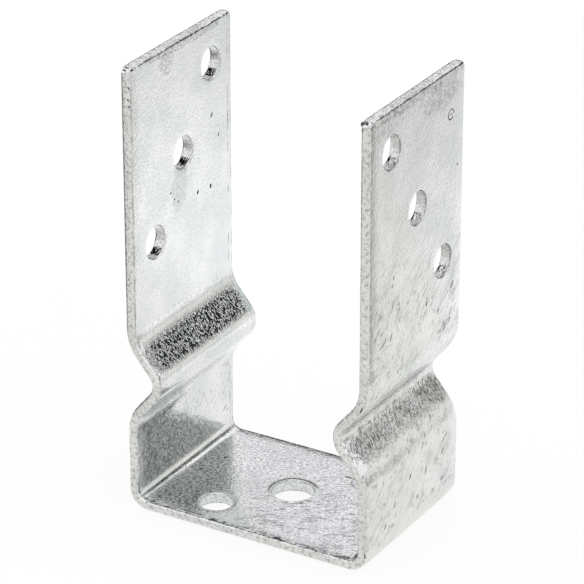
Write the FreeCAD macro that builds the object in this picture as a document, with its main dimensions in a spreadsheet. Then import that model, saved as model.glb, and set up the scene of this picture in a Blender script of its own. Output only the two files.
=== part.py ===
"""A U bracket that holds a wooden post, bent from one flat bar of galvanised steel.

The bar is rolled flat with rounded long edges and punched while it is straight. Two bends
turn it up into a U. A press then kinks each side inwards, low down, so that the post rests
on the two ridges and its end stays clear of the base and of the bolt heads there.
Millimetres. X runs from one arm to the other, Y along the width of the bar, Z up, and the
origin is the middle of the underside.
"""
import FreeCAD, Part
import math
import os

import Sketcher

NODE = "u_bracket"
DOC = FreeCAD.newDocument("UBracket")

# Name, value and meaning of each driving size
SIZES = (
    ("bar_width", 60.0, "width of the flat bar"),
    ("bar_thick", 4.0, "thickness of the bar with its zinc"),
    ("edge_round", 1.0, "radius of the rolled long edges"),
    ("end_round", 0.7, "radius that the zinc gives to the cut ends"),
    ("clear_span", 81.0, "clear width between the two arms"),
    ("arm_rise", 150.0, "height of the arms above the top of the base"),
    ("base_bend", 3.0, "inner radius of the two bends at the base"),
    ("ridge_height", 46.0, "height of the ridge crowns above the underside"),
    ("ridge_reach", 9.2, "how far each ridge stands in from its arm"),
    ("flank_lean", 40.0, "lean of the ridge flanks from upright, in degrees"),
    ("crown_bend", 4.5, "inner radius of the bend behind each crown"),
    ("foot_bend", 12.0, "inner radius of the bends at the feet of a ridge"),
    ("bolt_hole", 11.0, "diameter of the arm holes and of the outer base holes"),
    ("anchor_hole", 14.0, "diameter of the hole in the middle of the base"),
    ("rim_bevel", 0.4, "bevel that the punch and the zinc leave at the rims of the holes"),
    ("end_gap", 14.0, "top hole, down from the end of the arm"),
    ("hole_drop", 24.75, "from one arm hole down to the next"),
    ("hole_slant", 17.0, "from one arm hole sideways to the next"),
    ("base_along", 18.0, "outer base holes, from the middle towards an arm"),
    ("base_across", 18.5, "outer base holes, from the middle line across the bar"),
    ("punch_over", 1.0, "how far each cut runs on past the far face"),
)
SIZE = {name: value for name, value, meaning in SIZES}


def write_sheet():
    """Put every driving size in the sheet, under its own name."""
    sheet = DOC.addObject("Spreadsheet::Sheet", "Sizes")
    for row, (name, value, meaning) in enumerate(SIZES, start=1):
        sheet.set(f"A{row}", name)
        sheet.set(f"B{row}", str(value))
        sheet.set(f"C{row}", meaning)
        sheet.setAlias(f"B{row}", name)
    DOC.recompute()
    return sheet


def origin_part(body, role):
    """The plane or axis of the body's own origin that has this role."""
    return next(item for item in body.Origin.OriginFeatures if item.Role == role)


def new_sketch(body, name, role):
    """An empty sketch on one of the body's origin planes."""
    sketch = body.newObject("Sketcher::SketchObject", name)
    sketch.AttachmentSupport = [(origin_part(body, role), "")]
    sketch.MapMode = "FlatFace"
    return sketch


def start_of(element):
    """The start of a line or an arc, as a constraint names it."""
    return element, 1


def end_of(element):
    """The end of a line or an arc."""
    return element, 2


def centre_of(element):
    """The centre of a circle or an arc."""
    return element, 3


def level_axis():
    """The sketch's level axis; it starts at the sketch's origin."""
    return -1


def upright_axis():
    """The sketch's upright axis."""
    return -2


def fix(sketch, kind, *places):
    """Add a constraint that has no size."""
    sketch.addConstraint(Sketcher.Constraint(kind, *places))


def bind(sketch, name, expression, kind, *places):
    """Add a constraint, name it and tie its value to the sheet."""
    index = sketch.addConstraint(Sketcher.Constraint(kind, *places))
    sketch.renameConstraint(index, name)
    sketch.setExpression(f"Constraints.{name}", expression)


def point(across, up):
    """A point in a sketch."""
    return FreeCAD.Vector(across, up, 0)


def line(sketch, start, end):
    """A straight stretch; its number in the sketch comes back."""
    return sketch.addGeometry(Part.LineSegment(start, end))


def arc(sketch, centre, radius, first, last):
    """An arc, drawn anticlockwise between two angles in degrees."""
    circle = Part.Circle(centre, FreeCAD.Vector(0, 0, 1), radius)
    return sketch.addGeometry(Part.ArcOfCircle(circle, math.radians(first), math.radians(last)))


def bar_section(body):
    """The rolled bar's section: a flat rectangle with four equal round corners."""
    half, thick, edge = SIZE["bar_width"] / 2, SIZE["bar_thick"], SIZE["edge_round"]
    sketch = new_sketch(body, "BarSection", "YZ_Plane")
    under = line(sketch, point(edge - half, 0), point(half - edge, 0))
    back = line(sketch, point(half, edge), point(half, thick - edge))
    top = line(sketch, point(half - edge, thick), point(edge - half, thick))
    front = line(sketch, point(-half, thick - edge), point(-half, edge))
    low_back = arc(sketch, point(half - edge, edge), edge, 270, 360)
    high_back = arc(sketch, point(half - edge, thick - edge), edge, 0, 90)
    high_front = arc(sketch, point(edge - half, thick - edge), edge, 90, 180)
    low_front = arc(sketch, point(edge - half, edge), edge, 180, 270)
    ring = (under, low_back, back, high_back, top, high_front, front, low_front)
    for one, following in zip(ring, ring[1:] + ring[:1]):
        fix(sketch, "Tangent", *end_of(one), *start_of(following))
    fix(sketch, "Horizontal", top)
    for edge_face in (back, front):
        fix(sketch, "Vertical", edge_face)
    for corner in (high_back, high_front, low_front):
        fix(sketch, "Equal", low_back, corner)
    fix(sketch, "Symmetric", *start_of(under), *end_of(under), upright_axis())
    fix(sketch, "PointOnObject", *start_of(under), level_axis())
    bind(sketch, "EdgeRound", "Sizes.edge_round", "Radius", low_back, edge)
    bind(sketch, "Width", "Sizes.bar_width", "DistanceX", *start_of(front), *start_of(back), 2 * half)
    bind(sketch, "Thickness", "Sizes.bar_thick", "DistanceY", *start_of(under), *end_of(top), thick)
    return sketch


def bend_line(body):
    """Half of the bar's middle line, from the middle of the base to the end of an arm.

    It runs out along the base, up round the base bend, in to the ridge's crown and out
    again by two equal flanks, and then straight up the arm.
    """
    half_thick = SIZE["bar_thick"] / 2
    arm = SIZE["clear_span"] / 2 + half_thick
    corner = SIZE["base_bend"] + half_thick
    foot = SIZE["foot_bend"] + half_thick
    crown = SIZE["crown_bend"] + half_thick
    ridge = SIZE["ridge_height"]
    lean = SIZE["flank_lean"]
    sine, cosine = math.sin(math.radians(lean)), math.cos(math.radians(lean))
    flank = (SIZE["ridge_reach"] - (foot + crown) * (1 - cosine)) / sine
    spread = (foot + crown) * sine + flank * cosine
    crown_x = arm - SIZE["ridge_reach"] + crown
    in_x, near_x = crown_x - crown * cosine, arm - foot * (1 - cosine)
    top = SIZE["bar_thick"] + SIZE["arm_rise"]

    sketch = new_sketch(body, "BendLine", "XZ_Plane")
    base = line(sketch, point(0, half_thick), point(arm - corner, half_thick))
    base_arc = arc(sketch, point(arm - corner, half_thick + corner), corner, 270, 360)
    leg = line(sketch, point(arm, half_thick + corner), point(arm, ridge - spread))
    low_foot = arc(sketch, point(arm - foot, ridge - spread), foot, 0, lean)
    low_flank = line(sketch, point(near_x, ridge - spread + foot * sine),
                     point(in_x, ridge - crown * sine))
    crown_arc = arc(sketch, point(crown_x, ridge), crown, 180 - lean, 180 + lean)
    high_flank = line(sketch, point(in_x, ridge + crown * sine),
                      point(near_x, ridge + spread - foot * sine))
    high_foot = arc(sketch, point(arm - foot, ridge + spread), foot, -lean, 0)
    upper = line(sketch, point(arm, ridge + spread), point(arm, top))

    joins = (end_of(base) + start_of(base_arc), end_of(base_arc) + start_of(leg),
             end_of(leg) + start_of(low_foot), end_of(low_foot) + start_of(low_flank),
             end_of(low_flank) + end_of(crown_arc), start_of(crown_arc) + start_of(high_flank),
             end_of(high_flank) + start_of(high_foot), end_of(high_foot) + start_of(upper))
    for join in joins:
        fix(sketch, "Tangent", *join)
    origin = start_of(level_axis())
    fix(sketch, "PointOnObject", *start_of(base), upright_axis())
    fix(sketch, "Horizontal", base)
    fix(sketch, "Vertical", leg)
    fix(sketch, "Vertical", upper)
    fix(sketch, "PointOnObject", *end_of(upper), leg)
    fix(sketch, "Equal", low_foot, high_foot)
    bind(sketch, "BaseMiddle", "Sizes.bar_thick / 2",
         "DistanceY", *origin, *start_of(base), half_thick)
    bind(sketch, "ArmMiddle", "(Sizes.clear_span + Sizes.bar_thick) / 2",
         "DistanceX", *origin, *start_of(leg), arm)
    bind(sketch, "ArmTop", "Sizes.bar_thick + Sizes.arm_rise",
         "DistanceY", *origin, *end_of(upper), top)
    bind(sketch, "BaseBend", "Sizes.base_bend + Sizes.bar_thick / 2", "Radius", base_arc, corner)
    bind(sketch, "FootBend", "Sizes.foot_bend + Sizes.bar_thick / 2", "Radius", low_foot, foot)
    bind(sketch, "CrownBend", "Sizes.crown_bend + Sizes.bar_thick / 2", "Radius", crown_arc, crown)
    bind(sketch, "RidgeHeight", "Sizes.ridge_height",
         "DistanceY", *origin, *centre_of(crown_arc), ridge)
    bind(sketch, "RidgeReach",
         "Sizes.clear_span / 2 + Sizes.bar_thick - Sizes.ridge_reach + Sizes.crown_bend",
         "DistanceX", *origin, *centre_of(crown_arc), crown_x)
    bind(sketch, "LowLean", "90 + Sizes.flank_lean", "Angle", low_flank, math.radians(90 + lean))
    bind(sketch, "HighLean", "90 - Sizes.flank_lean", "Angle", high_flank, math.radians(90 - lean))
    return sketch


def bend_bar(body):
    """Carry the section along the middle line, and mirror that half to make the U."""
    half = body.newObject("PartDesign::AdditivePipe", "HalfBar")
    half.Profile = bar_section(body)
    half.Spine = bend_line(body)
    half.Mode = "Standard"
    DOC.recompute()
    other = body.newObject("PartDesign::Mirrored", "OtherHalf")
    other.Originals = [half]
    other.MirrorPlane = (origin_part(body, "YZ_Plane"), [""])
    other.Refine = True
    body.Tip = other
    DOC.recompute()
    return other


def circle_at(sketch, name, diameter, across, up):
    """A circle whose diameter and centre are tied to the sheet.

    Each of diameter, across and up is a pair: the value now and its expression. A distance
    in a sketch is never negative, so a centre on the negative side is measured towards
    the origin.
    """
    middle = point(across[0], up[0])
    ring = sketch.addGeometry(Part.Circle(middle, FreeCAD.Vector(0, 0, 1), diameter[0] / 2))
    bind(sketch, f"{name}Diameter", diameter[1], "Diameter", ring, diameter[0])
    centre, origin = centre_of(ring), start_of(level_axis())
    for kind, zero_line, (value, expression) in (("DistanceX", upright_axis(), across),
                                                 ("DistanceY", level_axis(), up)):
        if value == 0:
            fix(sketch, "PointOnObject", *centre, zero_line)
        elif value > 0:
            bind(sketch, name + kind, expression, kind, *origin, *centre, value)
        else:
            bind(sketch, name + kind, expression, kind, *centre, *origin, -value)


def punch_arm(body):
    """Three holes in the left arm, on a slant across the bar so that the wood won't split."""
    sketch = new_sketch(body, "ArmHolePlan", "YZ_Plane")
    first = SIZE["bar_thick"] + SIZE["arm_rise"] - SIZE["end_gap"]
    slant = (SIZE["hole_slant"], "Sizes.hole_slant")
    bolt = (SIZE["bolt_hole"], "Sizes.bolt_hole")
    for number, (name, side) in enumerate((("Top", 1), ("Middle", 0), ("Low", -1))):
        up = (first - number * SIZE["hole_drop"],
              f"Sizes.bar_thick + Sizes.arm_rise - Sizes.end_gap - {number} * Sizes.hole_drop")
        circle_at(sketch, name, bolt, (side * slant[0], slant[1]), up)
    cut = body.newObject("PartDesign::Pocket", "ArmHoles")
    cut.Profile = sketch
    cut.Type = "Length"
    cut.setExpression("Length", "Sizes.clear_span / 2 + Sizes.bar_thick + Sizes.punch_over")
    return cut


def punch_base(body, name, diameter, across, up):
    """One hole down through the base, cut upwards from the underside."""
    sketch = new_sketch(body, f"{name}Plan", "XY_Plane")
    circle_at(sketch, name, diameter, across, up)
    cut = body.newObject("PartDesign::Pocket", name)
    cut.Profile = sketch
    cut.Type = "Length"
    cut.Reversed = True
    cut.setExpression("Length", "Sizes.bar_thick + Sizes.punch_over")
    return cut


def punch_holes(body):
    """The arm holes and the outer base hole, turned half round for the other side, and
    the anchor hole in the middle of the base."""
    arm_holes = punch_arm(body)
    base_hole = punch_base(body, "BaseHole", (SIZE["bolt_hole"], "Sizes.bolt_hole"),
                           (-SIZE["base_along"], "Sizes.base_along"),
                           (-SIZE["base_across"], "Sizes.base_across"))
    DOC.recompute()
    pair = body.newObject("PartDesign::PolarPattern", "OtherSide")
    pair.Originals = [arm_holes, base_hole]
    pair.Axis = (origin_part(body, "Z_Axis"), [""])
    pair.Angle = 360
    pair.Occurrences = 2
    body.Tip = pair
    DOC.recompute()
    anchor = (SIZE["anchor_hole"], "Sizes.anchor_hole")
    hole = punch_base(body, "AnchorHole", anchor, (0, ""), (0, ""))
    body.Tip = hole
    DOC.recompute()
    return hole


def soften_edges(body, name, kind, measure, size, carrier, wanted):
    """Round or bevel the edges of the carrier that the test picks out."""
    names = [f"Edge{number}" for number, edge in enumerate(carrier.Shape.Edges, start=1)
             if wanted(edge)]
    softened = body.newObject(kind, name)
    softened.Base = (carrier, names)
    softened.setExpression(measure, f"Sizes.{size}")
    body.Tip = softened
    DOC.recompute()
    return softened


def is_end_edge(edge):
    """True for an edge that lies wholly in the cut end of an arm."""
    top = SIZE["bar_thick"] + SIZE["arm_rise"]
    return abs(edge.BoundBox.ZMin - top) < 1e-6


def is_hole_rim(edge):
    """True for a full circle with the diameter of one of the holes."""
    if not isinstance(edge.Curve, Part.Circle) or len(edge.Vertexes) != 1:
        return False
    diameters = (SIZE["bolt_hole"], SIZE["anchor_hole"])
    return any(abs(2 * edge.Curve.Radius - diameter) < 1e-6 for diameter in diameters)


def build_bracket():
    """The finished bracket, as one body."""
    body = DOC.addObject("PartDesign::Body", "UBracketBody")
    body.Label = NODE
    plain = bend_bar(body)
    ended = soften_edges(body, "EndRounding", "PartDesign::Fillet", "Radius", "end_round",
                         plain, is_end_edge)
    solid = ended.Shape.Volume
    punched = punch_holes(body)
    check_cut(solid, punched.Shape.Volume)
    soften_edges(body, "RimBevels", "PartDesign::Chamfer", "Size", "rim_bevel",
                 punched, is_hole_rim)
    body.Placement = FreeCAD.Placement()
    DOC.recompute()
    return body


def check_cut(before, after):
    """Stop if the holes took away another volume than eight bolt holes and the anchor's."""
    bolt = math.pi * SIZE["bolt_hole"] ** 2 / 4 * SIZE["bar_thick"]
    anchor = math.pi * SIZE["anchor_hole"] ** 2 / 4 * SIZE["bar_thick"]
    missing = before - after - 8 * bolt - anchor
    if abs(missing) > 1e-3 * bolt:
        raise RuntimeError(f"the holes took {missing:.3f} cubic mm more than they should")


def check_document(body):
    """Stop if any object of the document failed or the bracket isn't one valid solid."""
    for item in DOC.Objects:
        if "Invalid" in item.State or "Error" in item.State:
            raise RuntimeError(f"{item.Name} failed: {item.State}")
    shape = body.Shape
    if shape.isNull() or not shape.isValid() or len(shape.Solids) != 1:
        raise RuntimeError(f"{NODE} isn't one valid solid")


write_sheet()
bracket = build_bracket()
check_document(bracket)
os.makedirs("parts", exist_ok=True)
bracket.Shape.exportStep(f"parts/{NODE}.step")
box = bracket.Shape.optimalBoundingBox(False, False)
print(f"{NODE}: {box.XLength:.2f} x {box.YLength:.2f} x {box.ZLength:.2f} mm,",
      f"{bracket.Shape.Volume:.0f} cubic mm, {len(bracket.Shape.Faces)} faces")
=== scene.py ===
"""A U bracket for a wooden post: one flat steel bar, punched, bent and hot-dip galvanised.

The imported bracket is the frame. One detailed bar stands for it here, with the same section,
bends and holes, and with the uneven skin that the zinc bath leaves on the steel. The only
other pieces are the beads of zinc and the flecks of ash on it.
Metres, Z up, X from one arm to the other and Y along the width of the bar.
"""
import math

import bpy
import numpy as np
from mathutils import Matrix, Vector


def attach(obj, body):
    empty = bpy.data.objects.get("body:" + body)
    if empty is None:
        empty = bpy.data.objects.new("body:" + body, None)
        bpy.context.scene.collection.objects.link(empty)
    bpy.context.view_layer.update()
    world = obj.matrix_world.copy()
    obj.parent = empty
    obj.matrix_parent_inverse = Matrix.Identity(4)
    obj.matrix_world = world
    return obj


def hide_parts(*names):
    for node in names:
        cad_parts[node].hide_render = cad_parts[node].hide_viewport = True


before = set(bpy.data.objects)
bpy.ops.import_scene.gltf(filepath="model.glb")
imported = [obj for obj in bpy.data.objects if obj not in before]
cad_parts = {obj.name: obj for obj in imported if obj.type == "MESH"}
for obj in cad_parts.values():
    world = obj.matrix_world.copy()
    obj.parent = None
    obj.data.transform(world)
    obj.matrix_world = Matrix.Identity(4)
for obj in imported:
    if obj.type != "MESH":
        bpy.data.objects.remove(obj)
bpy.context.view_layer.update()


# The bar
# A flat bar of rolled steel, 60 by 4 mm with rounded long edges, is sheared to length and
# punched. It is bent up into a U with a ridge pressed into each side, and dipped in zinc.
MM = 0.001
BAR_WIDTH, BAR_THICK = 60.0, 4.0
EDGE_ROUND, END_ROUND = 1.0, 0.9
ARM_MIDDLE, ARM_TOP = 42.5, 154.0
RIDGE_HEIGHT, RIDGE_REACH = 46.0, 9.2
FLANK_LEAN = math.radians(40)
BASE_BEND, FOOT_BEND, CROWN_BEND = 5.0, 14.0, 6.5

# The line through the middle of the bent bar: the x, z and bend radius of each corner, in mm
crown_corner = ARM_MIDDLE - RIDGE_REACH + CROWN_BEND - CROWN_BEND / math.cos(FLANK_LEAN)
foot_rise = (ARM_MIDDLE - crown_corner) / math.tan(FLANK_LEAN)
right_corners = [(ARM_MIDDLE, BAR_THICK / 2, BASE_BEND),
                 (ARM_MIDDLE, RIDGE_HEIGHT - foot_rise, FOOT_BEND),
                 (crown_corner, RIDGE_HEIGHT, CROWN_BEND),
                 (ARM_MIDDLE, RIDGE_HEIGHT + foot_rise, FOOT_BEND),
                 (ARM_MIDDLE, ARM_TOP, 0.0)]
left_corners = [(-x, z, radius) for x, z, radius in reversed(right_corners)]
line_corners = left_corners + right_corners


def stretches(corners):
    """The straight runs and bends along the middle line: (length, angle turned) of each."""
    found, cut_before = [], 0.0
    for here, corner, after in zip(corners, corners[1:], corners[2:] + [None]):
        run = Vector(corner[:2]) - Vector(here[:2])
        turn = abs(run.angle_signed(Vector(after[:2]) - Vector(corner[:2]))) if after else 0.0
        cut = corner[2] * math.tan(turn / 2)
        found.append((run.length - cut_before - cut, 0.0))
        if after:
            found.append((corner[2] * turn, turn))
        cut_before = cut
    return found


# The flat bar is meshed in rings round its section, one at each station along it. They lie
# closer in the bends and at the ends, and the lines along the bar lie closer at its edges.
RUN_STEP, BEND_STEP = 1.0, math.radians(4)
line_stretches = stretches(line_corners)
line_length = sum(length for length, turn in line_stretches)
stations = [0.0]
for length, turn in line_stretches:
    steps = math.ceil(turn / BEND_STEP) if turn else round(length / RUN_STEP)
    stations.extend(np.linspace(stations[-1], stations[-1] + length, steps + 1)[1:])
END_BAND = np.array([END_ROUND, 1.15, 1.4, 1.7, 2.0, 2.5])
END_CLEAR = 2.9
inner = [s for s in stations if END_CLEAR < s < line_length - END_CLEAR]
along_lines = np.concatenate([END_BAND, inner, line_length - END_BAND[::-1]]) - line_length / 2
EDGE_WIDTH, EDGE_STEP = 6.0, 0.5
EDGE_BAND = np.arange(0.0, EDGE_WIDTH, EDGE_STEP)
flat_half = BAR_WIDTH / 2 - EDGE_ROUND
across_lines = np.concatenate([
    EDGE_BAND - flat_half,
    np.arange(EDGE_WIDTH - flat_half, flat_half - EDGE_WIDTH + EDGE_STEP),
    (flat_half - EDGE_BAND)[::-1]])
CORNER_STEPS, SIDE_STEPS = 6, 3
ROLL_OFF, ROLL_WIDTH = 0.24, 4.5


def outline(inset):
    """The bar's outline seen from its end, (across, up) in mm, drawn in by inset."""
    radius = EDGE_ROUND - inset
    side = BAR_THICK / 2 - EDGE_ROUND - ROLL_OFF
    angles = np.radians(np.linspace(90, 0, CORNER_STEPS + 1))[1:]
    quarter = [(flat_half + radius * math.cos(a), side + radius * math.sin(a)) for a in angles]
    side_points = [(flat_half + radius, up)
                   for up in np.linspace(side, -side, SIDE_STEPS + 1)[1:]]
    low_quarter = [(v, -w) for v, w in reversed(quarter)][1:]
    right = quarter + side_points + low_quarter + [(flat_half, -side - radius)]
    left = [(-v, -w) for v, w in right][:-1]
    rolled = [max(0.0, (abs(v) - flat_half) / ROLL_WIDTH + 1) for v in across_lines]
    top = [(v, side + radius + ROLL_OFF * (1 - share ** 2))
           for v, share in zip(across_lines, rolled)]
    bottom = [(v, -up) for v, up in top[::-1]][1:]
    return top + right + bottom + left


vertices, faces = [], []
ring_size = len(outline(0.0))
lines_across = len(across_lines)
low_start = lines_across - 1 + 2 * CORNER_STEPS + SIDE_STEPS


def top_vertex(i, k):
    """The vertex of the inner face on station i and line across k."""
    return i * ring_size + k


def low_vertex(i, k):
    """The vertex of the outer face opposite to it."""
    return i * ring_size + low_start + lines_across - 1 - k


for s in along_lines:
    vertices += [(s, v, w) for v, w in outline(0.0)]

# Three 11 mm holes go through each arm on a slant and two more through the base, and the 14 mm
# hole in the middle of the base takes the anchor bolt. Each hole has its distance along the
# bar from the middle, its place across, its radius and half of the square that holds its rings,
# which lie closer together towards its rim.
BOLT_HOLE, ANCHOR_HOLE = (5.5, 8.0), (7.0, 10.0)
TOP_HOLE_DOWN, HOLE_PITCH, HOLE_SLANT = 14.0, 24.75, 17.0
arm_start = line_length / 2 - ARM_TOP
holes = [(0.0, 0.0, *ANCHOR_HOLE), (-18.0, -18.5, *BOLT_HOLE), (18.0, 18.5, *BOLT_HOLE)]
for n in range(3):
    s, v = arm_start + ARM_TOP - TOP_HOLE_DOWN - HOLE_PITCH * n, HOLE_SLANT * (1 - n)
    holes += [(-s, v, *BOLT_HOLE), (s, -v, *BOLT_HOLE)]
RIM_ROUND = 0.45
RIM_STEPS, WALL_STEPS, PATCH_RINGS = 4, 6, 6
RING_CROWDING = 0.8
open_patches = np.zeros((len(along_lines), lines_across), bool)
hole_walls = {}
for s, v, radius, patch in holes:
    i0, i1 = (int(np.argmin(abs(along_lines - s - side * patch))) for side in (-1, 1))
    k0, k1 = (int(np.argmin(abs(across_lines - v - side * patch))) for side in (-1, 1))
    open_patches[i0:i1, k0:k1] = True
    loop = ([(i, k0) for i in range(i0, i1)] + [(i1, k) for k in range(k0, k1)]
            + [(i, k1) for i in range(i1, i0, -1)] + [(i0, k) for k in range(k1, k0, -1)])
    edge = np.array([(along_lines[i], across_lines[k]) for i, k in loop]) - (s, v)
    ray = edge / np.linalg.norm(edge, axis=1)[:, None]
    rim = radius + RIM_ROUND
    half = BAR_THICK / 2
    rings = [(edge + (ray * rim - edge) * (n / PATCH_RINGS) ** RING_CROWDING, half, 0.0)
             for n in range(1, PATCH_RINGS + 1)]
    for n in range(1, RIM_STEPS + 1):
        turn = math.pi / 2 * n / RIM_STEPS
        rings.append((ray * (rim - RIM_ROUND * math.sin(turn)),
                      half - RIM_ROUND * (1 - math.cos(turn)), n / RIM_STEPS))
    wall = [(ray * radius, up, 1.0)
            for up in np.linspace(half - RIM_ROUND, RIM_ROUND - half, WALL_STEPS + 1)[1:-1]]
    rings += wall + [(flat, -up, share) for flat, up, share in reversed(rings)]
    previous = [top_vertex(i, k) for i, k in loop]
    for flat, up, share in rings:
        here = list(range(len(vertices), len(vertices) + len(loop)))
        vertices += [(s + a, v + b, up) for a, b in flat]
        for vertex, (a, b) in zip(here, flat):
            hole_walls[vertex] = (share, math.atan2(b, a) * radius, up)
        faces += [(previous[m], previous[(m + 1) % len(loop)], here[(m + 1) % len(loop)], here[m])
                  for m in range(len(loop))]
        previous = here
    here = [low_vertex(i, k) for i, k in loop]
    faces += [(previous[m], previous[(m + 1) % len(loop)], here[(m + 1) % len(loop)], here[m])
              for m in range(len(loop))]

# The skin from station to station, left open where a hole has its own rings
for i in range(len(along_lines) - 1):
    for j in range(ring_size):
        if j < lines_across - 1:
            hidden = open_patches[i, j]
        elif low_start <= j < low_start + lines_across - 1:
            hidden = open_patches[i, low_start + lines_across - 2 - j]
        else:
            hidden = False
        if not hidden:
            a, b = i * ring_size, (i + 1) * ring_size
            nxt = (j + 1) % ring_size
            faces.append((a + j, b + j, b + nxt, a + nxt))

# The sheared ends are rounded over and closed
END_STEPS, CAP_ROWS = 4, 4
for end, station in ((-1, 0), (1, len(along_lines) - 1)):
    previous = [station * ring_size + j for j in range(ring_size)]
    for n in range(1, END_STEPS + 1):
        turn = math.pi / 2 * n / END_STEPS
        s = along_lines[station] + end * END_ROUND * math.sin(turn)
        here = list(range(len(vertices), len(vertices) + ring_size))
        vertices += [(s, v, w) for v, w in outline(END_ROUND * (1 - math.cos(turn)))]
        for j in range(ring_size):
            quad = (previous[j], here[j], here[(j + 1) % ring_size], previous[(j + 1) % ring_size])
            faces.append(quad if end > 0 else quad[::-1])
        previous = here
    rows = [[previous[low_start + lines_across - 1 - k] for k in range(lines_across)]]
    halves = [vertices[previous[k]][2] for k in range(lines_across)]
    for share in np.linspace(-1, 1, CAP_ROWS + 1)[1:-1]:
        rows.append(list(range(len(vertices), len(vertices) + lines_across)))
        vertices += [(s, v, share * up) for v, up in zip(across_lines, halves)]
    rows.append([previous[k] for k in range(lines_across)])
    cap = [(low[k], low[k + 1], high[k + 1], high[k])
           for low, high in zip(rows, rows[1:]) for k in range(lines_across - 1)]
    cap.append([row[-1] for row in rows[::-1]] + previous[low_start - 1:lines_across - 1:-1])
    cap.append([row[0] for row in rows] + previous[:low_start + lines_across - 1:-1])
    faces += [tuple(face) if end > 0 else tuple(face)[::-1] for face in cap]

used = np.zeros(len(vertices), bool)
used[[corner for face in faces for corner in face]] = True
renumbered = np.cumsum(used) - 1
faces = [[int(renumbered[corner]) for corner in face] for face in faces]
flat_points = np.array(vertices)[used]

# The shears and the zinc leave the four corners of the bar rounded
CORNER_ROUND = 2.0
corner_start = np.array([line_length, BAR_WIDTH]) / 2 - CORNER_ROUND
reach = np.maximum(abs(flat_points[:, :2]) - corner_start, 0.0)
in_corner = np.flatnonzero(reach.min(axis=1) > 0)
reach = reach[in_corner]
reach *= (reach.max(axis=1) / np.hypot(*reach.T))[:, None]
flat_points[in_corner, :2] = np.sign(flat_points[in_corner, :2]) * (corner_start + reach)

# The punch draws the metal down a little round each hole on the side it enters. It came up
# through the hole for the anchor bolt, which has a raised rim instead.
DISH_WIDTH, DISH_DEPTH, ANCHOR_LIP = 1.6, 0.1, 0.35
for s, v, radius, patch in holes:
    dish = -ANCHOR_LIP if radius == ANCHOR_HOLE[0] else DISH_DEPTH
    away = np.hypot(flat_points[:, 0] - s, flat_points[:, 1] - v) - radius - RIM_ROUND
    away /= DISH_WIDTH
    flat_points[:, 2] -= (dish * np.clip(1 - away, 0, 1) ** 2 * (away < 1)
                          * (flat_points[:, 2] / BAR_THICK + 0.5))
flat_points *= MM
flat_bar = bpy.data.meshes.new("flat_bar")
flat_bar.from_pydata(flat_points.tolist(), [], faces)
flat_bar.shade_smooth()

# The zinc's pattern reads where each point lies on the flat bar and in a hole
hole_share = np.zeros(len(vertices))
hole_place = np.zeros((len(vertices), 3))
for vertex, (share, around, up) in hole_walls.items():
    hole_share[vertex] = share
    hole_place[vertex] = (around * MM, up * MM, 0.0)
for name, kind, field, values in (("hole_share", "FLOAT", "value", hole_share[used]),
                                  ("hole_place", "FLOAT_VECTOR", "vector", hole_place[used]),
                                  ("bar_place", "FLOAT_VECTOR", "vector", flat_points)):
    flat_bar.attributes.new(name, kind, "POINT").data.foreach_set(field, values.ravel())
blank = bpy.data.objects.new("blank", flat_bar)
bpy.context.scene.collection.objects.link(blank)

# Two bends turn the flat bar up into a U, and a press kinks both sides inwards into the
# ridges that the post rests on. It follows one line of straight runs and tangent bends.
line_curve = bpy.data.curves.new("bend_line", "CURVE")
line_curve.dimensions = "3D"
line_points = line_curve.splines.new("POLY").points
line_points.add(len(line_corners) - 1)
for spot, (x, z, radius) in zip(line_points, line_corners):
    spot.co = (x * MM, 0.0, z * MM, 1.0)
    spot.radius = radius * MM
bend_line = bpy.data.objects.new("bend_line", line_curve)
bpy.context.scene.collection.objects.link(bend_line)

MATH, VECTORS = "ShaderNodeMath", "ShaderNodeVectorMath"
RAMP, MIX = "ShaderNodeMapRange", "ShaderNodeMix"


def add_node(tree, kind, inputs=(), **settings):
    """Add one node with its settings and links.

    inputs fills the sockets in use in their order, or by name, with values or other nodes'
    outputs. A node in it stands for the first of its outputs that is in use.
    """
    node = tree.nodes.new(kind)
    for name, value in settings.items():
        setattr(node, name, value)
    by_name = isinstance(inputs, dict)
    in_use = [socket for socket in node.inputs if socket.enabled]
    for socket, value in inputs.items() if by_name else zip(in_use, inputs):
        socket = node.inputs[socket] if by_name else socket
        if isinstance(value, bpy.types.Node):
            value = next(output for output in value.outputs if output.enabled)
        if isinstance(value, bpy.types.NodeSocket):
            tree.links.new(value, socket)
        else:
            socket.default_value = value
    return node


def geometry_tree(name, sizes):
    """A tree that changes a mesh, with its named inputs: (name, kind, value) of each."""
    tree = bpy.data.node_groups.new(name, "GeometryNodeTree")
    for label, kind, value in (("Geometry", "Geometry", None), *sizes):
        socket = tree.interface.new_socket(label, in_out="INPUT", socket_type="NodeSocket" + kind)
        if value is not None:
            socket.default_value = value
    tree.interface.new_socket("Geometry", in_out="OUTPUT", socket_type="NodeSocketGeometry")
    return tree


bending = geometry_tree("bend_and_dip", (
    ("Bend line", "Object", None), ("Steps in a bend", "Int", 24),
    ("Wave depth", "Float", 0.12 * MM), ("Wave length", "Float", 9.0 * MM),
    ("Pimple depth", "Float", 0.05 * MM), ("Pimple length", "Float", 2.2 * MM),
    ("End depth", "Float", 0.6 * MM), ("End length", "Float", 1.9 * MM),
    ("Zinc", "Material", None)))
given = add_node(bending, "NodeGroupInput").outputs
line = add_node(bending, "GeometryNodeObjectInfo", {"Object": given["Bend line"]},
                transform_space="ORIGINAL").outputs["Geometry"]
rounded = add_node(bending, "GeometryNodeFilletCurve",
                   {"Curve": line, "Count": given["Steps in a bend"],
                    "Radius": add_node(bending, "GeometryNodeInputRadius")}, mode="POLY")
whole = add_node(bending, "GeometryNodeCurveLength", {"Curve": rounded})
flat_place = add_node(bending, "ShaderNodeSeparateXYZ",
                      {"Vector": add_node(bending, "GeometryNodeInputPosition")}).outputs
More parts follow.
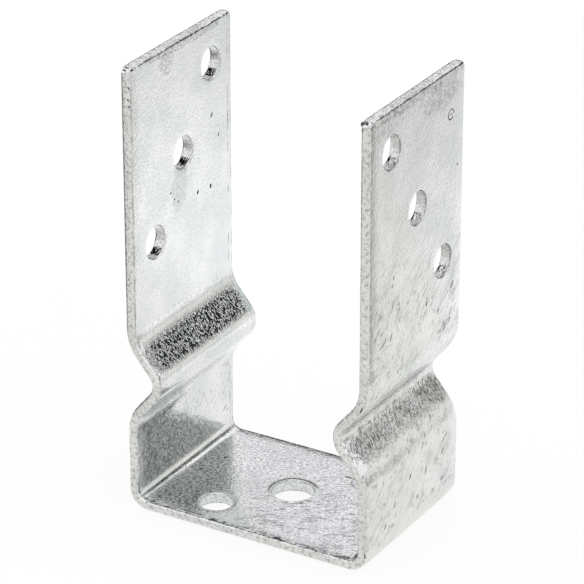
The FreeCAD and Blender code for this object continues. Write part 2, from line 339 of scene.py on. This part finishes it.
walked = add_node(bending, MATH, [whole, 0.5, flat_place["X"]], operation="MULTIPLY_ADD")
on_line = add_node(bending, "GeometryNodeSampleCurve", {"Curves": rounded, "Length": walked},
                   mode="LENGTH", use_all_curves=True).outputs
inwards = add_node(bending, VECTORS, [on_line["Tangent"], (0.0, 1.0, 0.0)],
                   operation="CROSS_PRODUCT")
lift = add_node(bending, VECTORS, [inwards, flat_place["Z"]], operation="SCALE")
lifted = add_node(bending, VECTORS, [on_line["Position"], lift])
across = add_node(bending, "ShaderNodeCombineXYZ", {"Y": flat_place["Y"]})
bent_place = add_node(bending, VECTORS, [lifted, across])
bent = add_node(bending, "GeometryNodeSetPosition",
                {"Geometry": given["Geometry"], "Position": bent_place})

# The zinc bath leaves the skin in long shallow waves with finer pimples on them, and ragged at
# the sheared ends. All only take away from the nominal faces, so that the bar keeps its size.
RAGGED_END = 5.0
from_middle = add_node(bending, MATH, [flat_place["X"]], operation="ABSOLUTE")
past_end = add_node(bending, MATH, [whole, -0.5, from_middle], operation="MULTIPLY_ADD")
at_end = add_node(bending, RAMP, [past_end, -RAGGED_END * MM, 0.0])
at_end = add_node(bending, MATH, [at_end, at_end], operation="MULTIPLY")
skin = 0.0
for kind, seed in (("Wave", 3.0), ("Pimple", 11.0), ("End", 5.0)):
    scale = add_node(bending, MATH, [1.0, given[kind + " length"]], operation="DIVIDE")
    dip = add_node(bending, "ShaderNodeTexNoise",
                   {"Scale": scale, "W": seed, "Detail": 1.0, "Roughness": 0.4},
                   noise_dimensions="4D")
    if kind == "End":
        dip = add_node(bending, MATH, [add_node(bending, RAMP, [dip, 0.35, 0.65]), at_end],
                       operation="MULTIPLY")
    skin = add_node(bending, MATH, [dip, given[kind + " depth"], skin], operation="MULTIPLY_ADD")
sunk = add_node(bending, MATH, [skin, -1.0], operation="MULTIPLY")
inset = add_node(bending, VECTORS, [add_node(bending, "GeometryNodeInputNormal"), sunk],
                 operation="SCALE")
dipped = add_node(bending, "GeometryNodeSetPosition", {"Geometry": bent, "Offset": inset})
real = add_node(bending, "GeometryNodeRealizeInstances", {"Geometry": dipped})
zinc_on = add_node(bending, "GeometryNodeSetMaterial",
                   {"Geometry": real, "Material": given["Zinc"]})
add_node(bending, "NodeGroupOutput", {"Geometry": zinc_on})


# Hot-dip zinc: the bent bar is dipped in molten zinc, which freezes to a bright, finely grained
# skin. It mirrors the room softly, broken up by grains and pimples of about half a millimetre,
# with ash from the bath in streaks, and painted shade and dark reflections at edges and holes.
zinc = bpy.data.materials.new("hot_dip_zinc")
zinc.use_nodes = True
tree = zinc.node_tree
tree.nodes.clear()


def linear(colour):
    """An sRGB hex colour as linear red, green, blue and alpha."""
    parts = [int(colour[n:n + 2], 16) / 255 for n in (1, 3, 5)]
    return tuple(c / 12.92 if c <= 0.04045 else ((c + 0.055) / 1.055) ** 2.4
                 for c in parts) + (1.0,)


def pattern(tree, place, size, start, full, low=0.0, high=1.0, length=None, turn=(0, 0, 0),
            **grain):
    """Blotches about size mm wide: low where the noise is under start, high where past full.

    With a length they are drawn out to it along each axis, and then turned by turn degrees.
    """
    if length:
        place = add_node(tree, "ShaderNodeMapping", {
            "Vector": place, "Rotation": [math.radians(a) for a in turn], "Scale": length},
            vector_type="TEXTURE")
    noise = add_node(tree, "ShaderNodeTexNoise",
                     {"Vector": place, "Scale": 1 / (size * MM), **grain})
    return add_node(tree, RAMP, [noise, start, full, low, high])


def band(tree, value, start, full, end, gone):
    """1 where the value is between full and end, fading to 0 at start and at gone."""
    risen = add_node(tree, RAMP, [value, start, full])
    return add_node(tree, MATH, [risen, add_node(tree, RAMP, [value, gone, end])],
                    operation="MULTIPLY")


def stain(tree, under, colour, *shares):
    """Lay a colour over what is under it, as strongly as all the shares multiplied."""
    share, *others = shares
    for other in others:
        share = add_node(tree, MATH, [share, other], operation="MULTIPLY")
    return add_node(tree, MIX, [share, under, linear(colour)], data_type="RGBA")


RAGGED_SIZE, RAGGEDNESS = 3.0, 1.3
PATCH_FULL, PATCH_GONE = 1.45, 1.75


def patch(tree, place, centre, reach):
    """1 inside an egg of this reach round the centre, both in mm, with a ragged outline."""
    local = add_node(tree, VECTORS, [place, [c * MM for c in centre]], operation="SUBTRACT")
    local = add_node(tree, VECTORS, [local, [1 / (r * MM) for r in reach]], operation="MULTIPLY")
    far = add_node(tree, VECTORS, [local], operation="LENGTH")
    uneven = pattern(tree, place, RAGGED_SIZE, 0.0, 1.0, Detail=2.0)
    ragged = add_node(tree, MATH, [uneven, RAGGEDNESS, far], operation="MULTIPLY_ADD")
    return add_node(tree, RAMP, [ragged, PATCH_GONE, PATCH_FULL])


# Where a point is: in the room, along, across and through the flat bar in mm, and in a hole
place = add_node(tree, "ShaderNodeTexCoord").outputs["Object"]
along_bar = add_node(tree, "ShaderNodeAttribute", attribute_name="bar_place").outputs["Vector"]
in_mm = add_node(tree, VECTORS, [along_bar, 1 / MM], operation="SCALE")
signed = add_node(tree, "ShaderNodeSeparateXYZ", [in_mm]).outputs
bar = add_node(tree, "ShaderNodeSeparateXYZ",
               [add_node(tree, VECTORS, [in_mm], operation="ABSOLUTE")]).outputs
in_hole = add_node(tree, "ShaderNodeAttribute", attribute_name="hole_share").outputs["Fac"]
in_wall = add_node(tree, "ShaderNodeAttribute", attribute_name="hole_place").outputs["Vector"]
wall_height = add_node(tree, "ShaderNodeSeparateXYZ", [in_wall]).outputs["Y"]
in_base = add_node(tree, RAMP, [bar["X"], 44.0, 38.0])
in_arm = add_node(tree, RAMP, [bar["X"], 106.0, 116.0])
inner_side = add_node(tree, RAMP, [signed["Z"], 1.0, 1.4])
outer_side = add_node(tree, RAMP, [signed["Z"], -1.2, -1.6])
HALF_LENGTH = line_length / 2

# The bare skin is clouded, with grey grains, and duller on the legs and the base, where the
# bath drains last
clouds = pattern(tree, place, 14.0, 0.38, 0.62, Detail=3.0)
grains = pattern(tree, place, 0.55, 0.5, 0.72, Detail=1.0)
colour = stain(tree, linear("#eef0f0"), "#fafafb", clouds)
colour = stain(tree, colour, "#a3a7a8", 0.2, grains)
gloss = add_node(tree, MATH, [add_node(tree, RAMP, [clouds, 0.0, 1.0, 0.09, 0.05]),
                              add_node(tree, RAMP, [bar["X"], 72.0, 62.0, 0.0, 0.05])])

# The pimples follow the zinc as it ran off: along the bar on the ridges, at a slant on the
# arms and on the base. They are about as fine as the picture can show, and lower on the legs,
# the base and the arms and in the holes. Long slanting streaks run under them.
on_ridge = pattern(tree, along_bar, 0.37, 0.56, 0.74, length=(2.2, 1.0, 1.0), Detail=0.0)
on_base = pattern(tree, along_bar, 0.5, 0.5, 0.78, turn=(0, 0, 31), length=(2.2, 1.0, 1.0),
                  Detail=1.0)
on_arm = pattern(tree, place, 0.5, 0.47, 0.77, turn=(27, 0, 0), length=(1.0, 2.2, 1.0),
                 Detail=0.0)
pimples = add_node(tree, MIX, [in_arm, add_node(tree, MIX, [in_base, on_ridge, on_base]), on_arm])
LEG_SMOOTH, BASE_SMOOTH, ARM_SMOOTH, HOLE_SMOOTH = 0.55, 0.4, 0.42, 0.3
on_leg = add_node(tree, RAMP, [bar["X"], 78.0, 68.0, 0.0, LEG_SMOOTH])
smoother = add_node(tree, MIX, [in_base, on_leg, BASE_SMOOTH])
for smooth in (add_node(tree, MATH, [in_arm, ARM_SMOOTH], operation="MULTIPLY"),
               add_node(tree, RAMP, [in_hole, 0.0, 0.5, 0.0, HOLE_SMOOTH])):
    smoother = add_node(tree, MATH, [smoother, smooth], operation="MAXIMUM")
STREAK_RISE, PIMPLE_RISE = 0.05, 0.07
pimple_rise = add_node(tree, MATH, [smoother, -PIMPLE_RISE * MM, PIMPLE_RISE * MM],
                       operation="MULTIPLY_ADD")
streaks = pattern(tree, place, 0.6, 0.0, 1.0, turn=(27, 0, 0), length=(1.0, 3.5, 1.0),
                  Detail=1.0)
bump = add_node(tree, "ShaderNodeBump",
                {"Height": streaks, "Strength": 1.0, "Distance": STREAK_RISE * MM})
bump = add_node(tree, "ShaderNodeBump", {"Height": pimples, "Strength": 1.0,
                                         "Distance": pimple_rise, "Normal": bump})

# Broken dark lines, painted dark reflections and shade: along the long edges, a second one by
# the back edge, both edges of the sheared ends, and painted shade in the two creases by the base
dashes = pattern(tree, along_bar, 1.6, 0.48, 0.6, length=(3.0, 1.0, 1.0), Detail=3.0,
                 Roughness=0.7)
end_dashes = pattern(tree, place, 1.1, 0.44, 0.56, length=(1.0, 2.5, 1.0), Detail=3.0,
                     Roughness=0.7)
edge_start = add_node(tree, MATH, [in_base, 0.5, bar["Y"]], operation="MULTIPLY_ADD")
edge_line = (add_node(tree, RAMP, [edge_start, 28.5, 28.8]),
             add_node(tree, RAMP, [bar["Y"], 29.7, 29.4]),
             add_node(tree, RAMP, [bar["X"], 40.0, 50.0, 1.0, 0.4]), inner_side, dashes)
back_line = (0.6, band(tree, signed["Y"], 26.6, 26.9, 27.2, 27.6), inner_side, dashes)
end_line = (band(tree, bar["X"], HALF_LENGTH - 0.6, HALF_LENGTH - 0.45, HALF_LENGTH - 0.2,
                 HALF_LENGTH - 0.1),
            add_node(tree, RAMP, [bar["Z"], 1.15, 1.35, 0.0, 0.8]), end_dashes)
# Painted shade in the inner creases of the base bends
crease_shade = (band(tree, bar["X"], 41.3, 41.6, 41.8, 42.1), inner_side,
          pattern(tree, place, 1.4, 0.42, 0.56, 0.2, 0.8, Detail=2.0))
# Each dark line is painted shade and painted dark reflection, laid over the zinc's colour
for painted_dark_line in (edge_line, back_line, end_line, crease_shade):
    colour = stain(tree, colour, "#34363a", 0.95, *painted_dark_line)

# A grey smear of ash on the left arm, and darker grey places at the tops of both arms
ash_and_shade_grain = pattern(tree, place, 0.8, 0.42, 0.6, Detail=3.0, Roughness=0.7)
colour = stain(tree, colour, "#b9bcba", patch(tree, place, (-40.5, -2.6, 104.5), (3.0, 4.4, 8.0)),
               add_node(tree, RAMP, [ash_and_shade_grain, 0.0, 1.0, 0.25, 0.6]))
for centre, reach, share in (((-40.5, -9.0, 149.0), (3.0, 4.4, 3.8), 0.5),
                             ((-40.5, 2.0, 152.5), (3.0, 24.0, 1.6), 0.6),
                             ((44.5, 0.0, 152.3), (3.0, 34.0, 1.8), 0.6),
                             ((44.5, 14.0, 147.5), (3.0, 13.0, 5.0), 0.55),
                             ((44.5, -20.0, 150.0), (3.0, 9.0, 4.5), 0.4)):
    colour = stain(tree, colour, "#7d807f", share, patch(tree, place, centre, reach), ash_and_shade_grain)

# Painted shade in the holes: the punched walls are painted darker and patchy, and darker still
# at the outer rim of each
rim_shade = (add_node(tree, RAMP, [in_hole, 0.2, 0.5]),
            add_node(tree, RAMP, [wall_height, -1.35 * MM, -1.6 * MM]),
            pattern(tree, place, 2.0, 0.4, 0.6, 0.2, 1.0, Detail=2.0))
# Painted shade along the outer rim of each hole wall
colour = stain(tree, colour, "#4a4c4e", 0.7, *rim_shade)
colour = stain(tree, colour, "#858887", add_node(tree, RAMP, [in_hole, 0.3, 0.8]),
               add_node(tree, RAMP, [ash_and_shade_grain, 0.0, 1.0, 0.12, 0.5]))

# Ash in slanting smudges and dashes on the right side's outer face, most of it in the lower
# half, and on the left leg
ash_way = {"turn": (42, 0, 0), "length": (1.0, 2.8, 1.0)}
smudges = pattern(tree, place, 3.2, 0.5, 0.64, Detail=3.0, Roughness=0.6, **ash_way)
ash_dashes = pattern(tree, place, 1.1, 0.54, 0.64, Detail=3.0, Roughness=0.65, **ash_way)
clusters = pattern(tree, place, 6.0, 0.42, 0.56, Detail=2.0, Roughness=0.6)
outer_right = (outer_side, add_node(tree, RAMP, [signed["X"], 44.0, 48.0]),
               add_node(tree, RAMP, [signed["X"], 155.0, 125.0, 0.15, 1.0]))
left_leg = (0.75, band(tree, signed["X"], -46.0, -50.0, -74.0, -78.0), inner_side)
colour = stain(tree, colour, "#8f918e", 0.26, smudges, *outer_right)
for face in (outer_right, left_leg):
    colour = stain(tree, colour, "#5f6362", 0.6, ash_dashes, clusters, *face)

# Short dark streaks run down the right ridge's lower flank, a painted dark reflection of the
# black flag. Thin smoky ones lie in patches over the base's inner face, most of them to the
# front and the right.
painted_flank_reflection = pattern(tree, along_bar, 0.7, 0.5, 0.6, turn=(0, 0, 12), length=(3.0, 1.0, 1.0),
                        Detail=3.0)
# Painted dark reflection, laid on where the flank mirrors the black flag
colour = stain(tree, colour, "#4a4c4b", 0.7, painted_flank_reflection, outer_side,
               band(tree, signed["X"], 74.0, 78.0, 84.0, 87.0))
smoke = pattern(tree, along_bar, 0.9, 0.48, 0.6, turn=(0, 0, 31), length=(4.0, 1.0, 1.0),
                Detail=4.0, Roughness=0.65)
colour = stain(tree, colour, "#6a6b6d", smoke, clusters, in_base, inner_side,
               add_node(tree, RAMP, [signed["X"], -20.0, 0.0, 0.0, 0.6]),
               add_node(tree, RAMP, [signed["Y"], 20.0, -5.0, 0.3, 1.0]))

# The rolled long sides and the sheared ends are mottled
mottles = pattern(tree, place, 1.3, 0.48, 0.68, Detail=3.0, Roughness=0.6)
for side in (add_node(tree, RAMP, [bar["Y"], 29.3, 29.7]),
             add_node(tree, RAMP, [bar["X"], HALF_LENGTH - 0.3, HALF_LENGTH - 0.1])):
    colour = stain(tree, colour, "#757774", 0.55, mottles, side)
surface = add_node(tree, "ShaderNodeBsdfPrincipled",
                   {"Base Color": colour, "Metallic": 1.0, "Roughness": gloss, "Normal": bump})
add_node(tree, "ShaderNodeOutputMaterial", {"Surface": surface})


def made_by(tree, start, name, given):
    """The plain mesh that a geometry tree makes of an object, which is then removed."""
    making = start.modifiers.new(tree.name, "NODES")
    making.node_group = tree
    for item in tree.interface.items_tree:
        if item.in_out == "INPUT" and item.name in given:
            making[item.identifier] = given[item.name]
    finished = start.evaluated_get(bpy.context.evaluated_depsgraph_get())
    mesh = bpy.data.meshes.new_from_object(finished)
    mesh.name = name
    bpy.data.objects.remove(start)
    piece = bpy.data.objects.new(name, mesh)
    bpy.context.scene.collection.objects.link(piece)
    return piece


galvanised_bar = made_by(bending, blank, "galvanised_bar", {"Bend line": bend_line, "Zinc": zinc})
bpy.data.objects.remove(bend_line)
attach(galvanised_bar, "root")
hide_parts("u_bracket")


# The beads and the flecks of ash
# The last zinc to run off freezes in beads on the top ends and at the corners, and ash from
# the bath sticks to the faces in small dark flecks. Both are half sunk in the bar's skin.

# Zinc ash: dull dark grey scale with lighter grains in it, hardly any shine
ash = bpy.data.materials.new("zinc_ash")
ash.use_nodes = True
tree = ash.node_tree
tree.nodes.clear()
place = add_node(tree, "ShaderNodeTexCoord").outputs["Object"]
colour = stain(tree, linear("#3d3e40"), "#8b8d8c", pattern(tree, place, 0.6, 0.45, 0.65,
                                                          Detail=2.0))
surface = add_node(tree, "ShaderNodeBsdfPrincipled",
                   {"Base Color": colour, "Metallic": 0.4, "Roughness": 0.6})
add_node(tree, "ShaderNodeOutputMaterial", {"Surface": surface})

# Each lump, in mm and degrees: its place, the way its length runs, the way it faces, its turn
# and its size. The flecks stick to the left arm's inner face, the right side's outer face, the
# base's top and the front side, which lie at these places.
LEFT_FACE, RIGHT_FACE, BASE_FACE, FRONT_SIDE = -40.56, 44.39, 3.9, -29.86
UP, BACK, OUT, FRONT = (0, 0, 1), (0, 1, 0), (1, 0, 0), (0, -1, 0)
flecks = []
for y, z, turn, length, width in (
        (17.2, 122.0, -35, 2.0, 0.7), (21.4, 113.8, -30, 1.7, 0.55), (16.2, 97.5, -20, 1.6, 1.0),
        (8.3, 98.3, -15, 1.5, 1.1), (-7.7, 104.0, -10, 0.7, 0.6), (-5.6, 101.1, 0, 0.7, 0.6),
        (-3.2, 99.5, 0, 0.6, 0.6)):
    flecks.append(((LEFT_FACE, y, z), UP, OUT, turn, (length, width, 0.22)))
for y, z, turn, length, width in (
        (25.5, 120.5, 0, 1.0, 0.8), (-14.8, 97.5, -25, 2.2, 0.6), (-15.6, 95.0, -35, 1.6, 0.5),
        (-10.9, 85.3, -35, 1.4, 0.5), (-15.9, 77.8, -25, 3.4, 0.8), (6.9, 79.7, -25, 1.8, 0.5),
        (14.7, 74.2, -20, 3.0, 0.5), (24.2, 80.2, -15, 2.4, 0.5), (22.4, 68.0, -25, 2.2, 0.5),
        (19.0, 66.4, -40, 2.6, 0.6), (-12.0, 17.0, -30, 3.0, 0.7),
        (-2.0, 22.5, -30, 2.6, 0.6), (8.5, 20.0, -20, 3.0, 0.6), (-18.0, 12.0, -25, 2.6, 0.6),
        (3.0, 13.0, -35, 2.2, 0.6), (22.0, 27.0, -20, 2.4, 0.5), (19.5, 22.0, -45, 2.6, 0.6),
        (-22.0, 7.5, -20, 2.0, 0.5), (13.0, 10.5, -30, 1.8, 0.5)):
    flecks.append(((RIGHT_FACE, y, z), UP, OUT, turn, (length, width, 0.25)))
for x, y, turn, length, width in ((-31.0, 8.9, -60, 2.0, 1.1), (10.7, 17.4, -75, 2.6, 0.9),
                                  (24.2, -3.7, -75, 2.2, 0.7)):
    flecks.append(((x, y, BASE_FACE), BACK, UP, turn, (length, width, 0.25)))
for x, z, turn, length, width in (
        (41.9, 57.9, -25, 2.6, 0.7), (-43.4, 87.5, 0, 1.6, 0.7), (-42.9, 82.3, 0, 1.0, 0.6),
        (-41.2, 147.6, 50, 1.3, 0.6), (-41.6, 143.7, 20, 1.5, 0.5), (-41.2, 141.4, -30, 1.2, 0.5)):
    flecks.append(((x, FRONT_SIDE, z), UP, FRONT, turn, (length, width, 0.22)))
# A burst bubble at the right arm's top is left as a broken ring of ash round a dot
BUBBLE_Y, BUBBLE_Z, BUBBLE_RADIUS = 20.6, 139.0, 1.7
for a in np.radians(range(10, 340, 33)):
    spot = (RIGHT_FACE, BUBBLE_Y + BUBBLE_RADIUS * math.cos(a), BUBBLE_Z + BUBBLE_RADIUS * math.sin(a))
    flecks.append((spot, UP, OUT, math.degrees(a), (1.2, 0.6, 0.25)))
# The dot, and the larger pieces of ash at the top ends and by the front of the right bend
flecks += [((RIGHT_FACE, BUBBLE_Y, BUBBLE_Z), UP, OUT, 0, (0.9, 0.7, 0.25)),
           ((41.3, -29.3, 152.9), UP, FRONT, 0, (1.8, 1.6, 0.8)),
           ((42.4, -28.6, 153.4), BACK, UP, 30, (2.6, 1.2, 0.8)),
           ((41.5, -29.75, 150.9), UP, FRONT, 20, (1.6, 0.7, 0.4)),
           ((-40.9, -28.6, 153.2), BACK, UP, 0, (1.8, 1.0, 0.8)),
           ((43.4, -29.8, 7.5), UP, FRONT, 15, (3.2, 0.9, 0.25)),
           ((41.4, -29.8, 3.4), UP, FRONT, 45, (2.0, 0.9, 0.25))]
# The beads along the right arm's top end, at the front corners and on the left leg
beads = [((41.1, y, 153.45), BACK, UP, turn, (length, 1.3, 1.1)) for y, turn, length in (
    (25.6, 0, 2.0), (21.6, 10, 1.6), (15.0, -8, 1.8), (2.8, 5, 2.2), (-8.0, 0, 1.4),
    (-11.8, 12, 1.8), (-21.6, -6, 1.5))]
beads += [((-41.6, -28.9, 152.9), UP, FRONT, 10, (2.0, 2.4, 1.9)),
          ((-43.7, -29.2, 151.4), UP, FRONT, 0, (1.8, 1.2, 1.3)),
          ((43.3, -28.7, 152.9), UP, FRONT, 0, (1.9, 1.8, 2.2)),
          ((-40.6, -5.2, 21.7), UP, OUT, 0, (1.8, 1.6, 0.5))]

lumpy = geometry_tree("frozen_lumps", (
    ("Raggedness", "Float", 0.3 * MM), ("Ragged length", "Float", 0.7 * MM),
    ("Finish", "Material", None)))
given = add_node(lumpy, "NodeGroupInput").outputs
ball = add_node(lumpy, "GeometryNodeMeshIcoSphere", {"Radius": 1.0, "Subdivisions": 3})
turn, size = (add_node(lumpy, "GeometryNodeInputNamedAttribute", {"Name": name},
                       data_type="FLOAT_VECTOR") for name in ("turn", "size"))
placed = add_node(lumpy, "GeometryNodeInstanceOnPoints", {
    "Points": given["Geometry"], "Instance": ball, "Scale": size,
    "Rotation": add_node(lumpy, "FunctionNodeEulerToRotation", [turn])})
real = add_node(lumpy, "GeometryNodeRealizeInstances", {"Geometry": placed})
scale = add_node(lumpy, MATH, [1.0, given["Ragged length"]], operation="DIVIDE")
rough = add_node(lumpy, "ShaderNodeTexNoise", {"Scale": scale, "W": 5.0, "Detail": 1.0},
                 noise_dimensions="4D")
depth = add_node(lumpy, MATH, [rough, given["Raggedness"]], operation="MULTIPLY")
sunk = add_node(lumpy, MATH, [depth, -1.0], operation="MULTIPLY")
worn = add_node(lumpy, VECTORS, [add_node(lumpy, "GeometryNodeInputNormal"), sunk],
                operation="SCALE")
worn = add_node(lumpy, "GeometryNodeSetPosition", {"Geometry": real, "Offset": worn})
finish_on = add_node(lumpy, "GeometryNodeSetMaterial",
                     {"Geometry": worn, "Material": given["Finish"]})
add_node(lumpy, "NodeGroupOutput", {"Geometry": finish_on})


def lump_points(name, lumps):
    """A point for each lump of a list, with the turn and the size that the tree gives it."""
    turns, sizes = [], []
    for place, length_way, out, turn, size in lumps:
        out = Vector(out)
        along = Matrix.Rotation(math.radians(turn), 3, out) @ Vector(length_way)
        basis = Matrix((along, out.cross(along), out)).transposed()
        turns.append(basis.to_euler())
        sizes.append(Vector(size) * MM / 2)
    points = bpy.data.meshes.new(name)
    points.from_pydata([Vector(place) * MM for place, *rest in lumps], [], [])
    for field, values in (("turn", turns), ("size", sizes)):
        flat = [number for value in values for number in value]
        points.attributes.new(field, "FLOAT_VECTOR", "POINT").data.foreach_set("vector", flat)
    holder = bpy.data.objects.new(name, points)
    bpy.context.scene.collection.objects.link(holder)
    return holder


for name, lumps, finish, raggedness in (("ash_flecks", flecks, ash, 0.05),
                                        ("zinc_beads", beads, zinc, 0.3)):
    piece = made_by(lumpy, lump_points(name + "_points", lumps), name,
                    {"Raggedness": raggedness * MM, "Finish": finish})
    piece.data.shade_smooth()
    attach(piece, "root")


# The studio
# A white floor in a white room, and cards that only show in reflections: flags and walls
# behind, sheets on the floor, a canopy and one card on the left. The camera is the
# photograph's, without its shift.
FLOOR_HALF, FLOOR_DROP = 3.0, 0.0002
floor_mesh = bpy.data.meshes.new("floor")
floor_mesh.from_pydata([(x * FLOOR_HALF, y * FLOOR_HALF, -FLOOR_DROP)
                        for x, y in ((-1, -1), (1, -1), (1, 1), (-1, 1))], [], [(0, 1, 2, 3)])
floor = bpy.data.objects.new("floor", floor_mesh)
bpy.context.scene.collection.objects.link(floor)

# White paper. It shows white itself, an eighth of it from the light that falls on it, so that
# it keeps the bracket's shadow. The metal mirrors it in tints that change to the back, to the
# front and to the right of a line that runs back from the bracket.
paper = bpy.data.materials.new("white_paper")
paper.use_nodes = True
tree = paper.node_tree
tree.nodes.clear()
PAPER_SHARE = 0.12
LINE_SLOPE = 0.59
ray = add_node(tree, "ShaderNodeLightPath").outputs
seen = add_node(tree, MATH, [ray["Is Camera Ray"], ray["Is Glossy Ray"]], operation="MAXIMUM")
seen = add_node(tree, MATH, [seen, ray["Is Transmission Ray"]], operation="MAXIMUM")
spot = add_node(tree, "ShaderNodeSeparateXYZ",
                [add_node(tree, "ShaderNodeTexCoord").outputs["Object"]]).outputs
sideways = add_node(tree, MATH, [spot["Y"], -LINE_SLOPE, spot["X"]], operation="MULTIPLY_ADD")
to_right = add_node(tree, RAMP, [sideways, 0.015, 0.03])
tint = linear("#fdfeff")
for shade, *where in (("#ebebe5", to_right),
                      ("#c9cac9", add_node(tree, RAMP, [spot["Y"], 0.2, 0.45])),
                      ("#c3c3bf", to_right, add_node(tree, RAMP, [spot["Y"], 0.16, 0.32])),
                      ("#ecece8", add_node(tree, RAMP, [spot["Y"], 0.5, 0.7])),
                      ("#deded9", add_node(tree, RAMP, [spot["Y"], -0.02, -0.036])),
                      ("#ffffff", ray["Is Camera Ray"])):
    tint = stain(tree, tint, shade, *where)
strength = add_node(tree, MATH, [seen, 1.0 - PAPER_SHARE], operation="MULTIPLY")
glow = add_node(tree, "ShaderNodeEmission", {"Color": tint, "Strength": strength})
lit = add_node(tree, "ShaderNodeBsdfDiffuse", {"Color": (PAPER_SHARE,) * 3 + (1.0,)})
both = add_node(tree, "ShaderNodeAddShader", [lit, glow])
add_node(tree, "ShaderNodeOutputMaterial", {"Surface": both})
floor_mesh.materials.append(paper)


def card(name, colour, corners, foot=None, fade_top=0.0):
    """A flat card that only shows in reflections; its colour is what the metal mirrors.

    With a foot, it fades from that colour at its lowest corner to its own at fade_top.
    """
    card_mesh = bpy.data.meshes.new(name)
    card_mesh.from_pydata(corners, [], [tuple(range(len(corners)))])
    shade = bpy.data.materials.new(name)
    shade.use_nodes = True
    tree = shade.node_tree
    tree.nodes.clear()
    own = linear(colour)
    if foot:
        place = add_node(tree, "ShaderNodeTexCoord").outputs["Object"]
        height = add_node(tree, "ShaderNodeSeparateXYZ", [place]).outputs["Z"]
        lowest = min(corner[2] for corner in corners)
        own = stain(tree, linear(foot), colour, add_node(tree, RAMP, [height, lowest, fade_top]))
    glow = add_node(tree, "ShaderNodeEmission", {"Color": own})
    add_node(tree, "ShaderNodeOutputMaterial", {"Surface": glow})
    card_mesh.materials.append(shade)
    hung = bpy.data.objects.new(name, card_mesh)
    bpy.context.scene.collection.objects.link(hung)
    hung.visible_camera = hung.visible_diffuse = hung.visible_shadow = False


def upright(y, outline):
    """The corners of a card that faces the front at this y, from an outline in x and z."""
    return [(x, y, z) for x, z in outline]


def behind(y, left, right, low, high):
    """The corners of an upright oblong card."""
    return upright(y, ((left, low), (right, low), (right, high), (left, high)))


def wedge(z, near, far):
    """A sheet on the floor between two lines that start under the right arm's front edge."""
    return [(0.0445 + (y + 0.03) * slope, y, z)
            for y, slope in ((0.07, near), (0.07, far), (0.57, far), (0.57, near))]


def level(z, left, right, front, back):
    """The corners of an oblong sheet that lies level."""
    return [(left, front, z), (right, front, z), (right, back, z), (left, back, z)]


# The black and the grey flag fade to the far wall's colour at their feet
FAR_WALL = "#e6e6e0"
card("back_wall", "#f8f7f9", behind(1.2, -2.5, -0.15, 0.55, 1.08))
card("back_wall_low", "#6c6b6e", behind(1.2, -2.5, -0.15, 0.0, 0.55))
card("back_wall_high", "#a4a3a6", behind(1.2, -2.5, -0.15, 1.08, 1.5))
card("far_wall", FAR_WALL, behind(1.2, -0.15, 2.5, 0.0, 0.3))
card("black_flag", "#232526", upright(0.24, ((0.035, 0.06), (0.2, 0.06), (0.19, 0.12),
                                             (0.168, 0.17), (0.155, 0.25), (0.035, 0.25))),
     FAR_WALL, 0.152)
card("green_flag", "#ccd6d2", upright(0.239, ((-0.03, 0.07), (0.092, 0.07), (0.1, 0.1),
                                              (0.1, 0.13), (0.08, 0.142), (-0.03, 0.142))))
card("grey_flag", "#888a88", behind(0.241, 0.15, 0.26, 0.08, 0.3), FAR_WALL, 0.2)
card("leg_sheet", "#f0f1ef", level(0.0004, -0.04, 0.06, 0.032, 0.12))
card("low_strip", "#3a3a3a", behind(0.3, -0.42, -0.05, 0.02, 0.08))
card("corner_card", "#3a3a3a", behind(0.3, -0.45, -0.26, 0.12, 0.2))
card("canopy", "#161616", level(0.9, -0.95, -0.38, -0.55, 0.52))
card("grey_sheet", "#cdcdc8", wedge(0.0005, 0.62, 2.4))
card("dark_sheet", "#a4a6a2", wedge(0.001, 0.8, 2.0))
card("left_card", "#8a8c8a", [(-0.15, -0.15, 0.0), (-0.15, 0.06, 0.0),
                              (-0.15, 0.06, 0.12), (-0.15, -0.15, 0.12)])

room = bpy.data.worlds.new("white_room")
bpy.context.scene.world = room
room.use_nodes = True
sky = room.node_tree.nodes["Background"].inputs
sky["Color"].default_value = (1.0, 1.0, 1.0, 1.0)
sky["Strength"].default_value = 1.0

# The photograph's view: the turn about Z and the look down in radians, the distance and the
# sizes in the picture from a least-squares fit to the bracket's edges
TURN, LOOK_DOWN = 0.53341, 0.44493
DISTANCE = 1.1111
PIXELS_PER_MM = 3.1473
FRAME_PIXELS = 584
LOOK_OFFSET = (1.187, 2.678)
SENSOR = 36.0
ahead = Vector((-math.sin(TURN) * math.cos(LOOK_DOWN), math.cos(TURN) * math.cos(LOOK_DOWN),
                -math.sin(LOOK_DOWN)))
rightwards = Vector((math.cos(TURN), math.sin(TURN), 0.0))
down = ahead.cross(rightwards)
offset = (rightwards * LOOK_OFFSET[0] + down * LOOK_OFFSET[1]) / PIXELS_PER_MM * MM
aimed_at = Vector((0.0, 0.0, 0.075)) - offset
camera_data = bpy.data.cameras.new("camera")
camera_data.sensor_width = SENSOR
camera_data.lens = SENSOR * PIXELS_PER_MM / MM * DISTANCE / FRAME_PIXELS
camera_data.clip_start, camera_data.clip_end = 0.05, 20.0
camera = bpy.data.objects.new("camera", camera_data)
camera.location = aimed_at - ahead * DISTANCE
camera.rotation_mode = "QUATERNION"
camera.rotation_quaternion = ahead.to_track_quat("-Z", "Y")
bpy.context.scene.collection.objects.link(camera)
bpy.context.scene.camera = camera

bpy.context.scene.view_settings.view_transform = "Standard"
